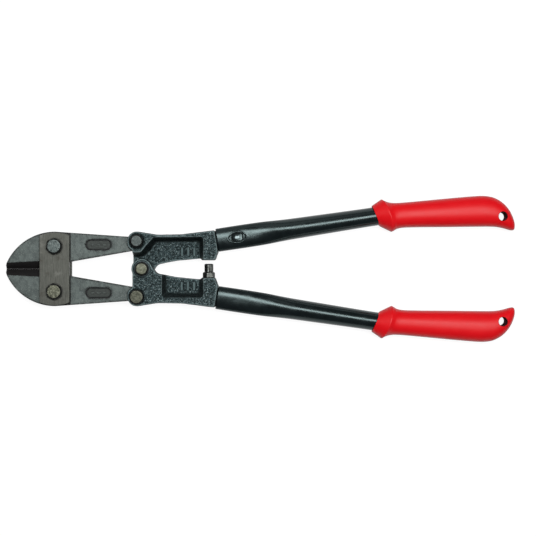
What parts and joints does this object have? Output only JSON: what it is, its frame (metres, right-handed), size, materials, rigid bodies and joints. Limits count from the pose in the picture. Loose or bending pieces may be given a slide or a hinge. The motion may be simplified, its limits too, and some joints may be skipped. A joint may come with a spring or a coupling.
{
  "type": "bolt cutters",
  "caption": "Long-handled compound-lever cutters: clipper-cut jaws between side plates, forged arms, tubular handles with moulded grips, an adjustable stop.",
  "frame": {"origin": "under the middle of the tool's length and width, on the surface that it rests on with its jaw nuts and grips down", "axes": "+X from the jaws to the grips, +Y towards the upper handle, +Z out of the front face, along every pivot bolt"},
  "size_m": [0.4582, 0.132, 0.0305],
  "materials": {
    "plate_steel": "brushed, dulled brown-grey steel",
    "jaw_steel": "heat-treated forged steel, matt grey with dark ground bevels",
    "forged_arm": "coarse forging under thin dark enamel",
    "tube_enamel": "gloss black enamel",
    "grip_skin": "smooth red moulded vinyl",
    "dark_bolt": "blackened steel, worn",
    "zinc_bolt": "dulled zinc plate",
    "stop_steel": "oiled steel"
  },
  "bodies": {
    "head": {"front_plate": "plate_steel", "rear_plate": "plate_steel", "upper_jaw_bolt": "dark_bolt", "lower_jaw_bolt": "zinc_bolt", "upper_lock_washer": "dark_bolt", "lower_lock_washer": "zinc_bolt", "upper_jaw_nut": "dark_bolt", "lower_jaw_nut": "zinc_bolt"},
    "upper_jaw": {"upper_jaw": "jaw_steel"},
    "lower_jaw": {"lower_jaw": "jaw_steel"},
    "upper_handle": {"upper_arm": "forged_arm", "upper_tube": "tube_enamel", "upper_grip": "grip_skin", "upper_tail_bolt": "dark_bolt", "upper_tail_nut": "dark_bolt"},
    "lower_handle": {"lower_arm": "forged_arm", "lower_tube": "tube_enamel", "lower_grip": "grip_skin", "lower_tail_bolt": "zinc_bolt", "lower_tail_nut": "zinc_bolt", "centre_bolt": "zinc_bolt", "centre_front_washer": "dark_bolt", "centre_rear_washer": "zinc_bolt", "centre_nut": "zinc_bolt", "stop_locknut": "stop_steel"},
    "stop_adjuster": {"stop_screw": "stop_steel"}
  },
  "joints": [
    {"name": "upper_handle_pivot", "type": "hinge", "parent": "upper_jaw", "child": "upper_handle", "pos_m": [-0.11094, 0.025, 0.01555], "axis": [0, 0, 1], "range_deg": [0, 50]},
    {"name": "lower_handle_pivot", "type": "hinge", "parent": "lower_jaw", "child": "lower_handle", "pos_m": [-0.11094, -0.025, 0.01555], "axis": [0, 0, -1], "range_deg": [0, 50]},
    {"name": "upper_jaw_pivot", "type": "hinge", "parent": "head", "child": "upper_jaw", "pos_m": [-0.18464, 0.0203, 0.01555], "axis": [0, 0, -1], "range_deg": [0, 6.8]},
    {"name": "lower_jaw_pivot", "type": "hinge", "parent": "head", "child": "lower_jaw", "pos_m": [-0.18464, -0.0203, 0.01555], "axis": [0, 0, 1], "range_deg": [0, 6.8]},
    {"name": "stop_screw_travel", "type": "slide", "parent": "lower_handle", "child": "stop_adjuster", "axis": [0, 1, 0], "range_m": [0, 0.0025]}
  ],
  "couplings": [
    {"joint": "lower_handle_pivot", "follows": "upper_handle_pivot", "ratio": 1},
    {"joint": "upper_jaw_pivot", "follows": "upper_handle_pivot", "ratio": 0.136},
    {"joint": "lower_jaw_pivot", "follows": "upper_handle_pivot", "ratio": 0.136}
  ]
}
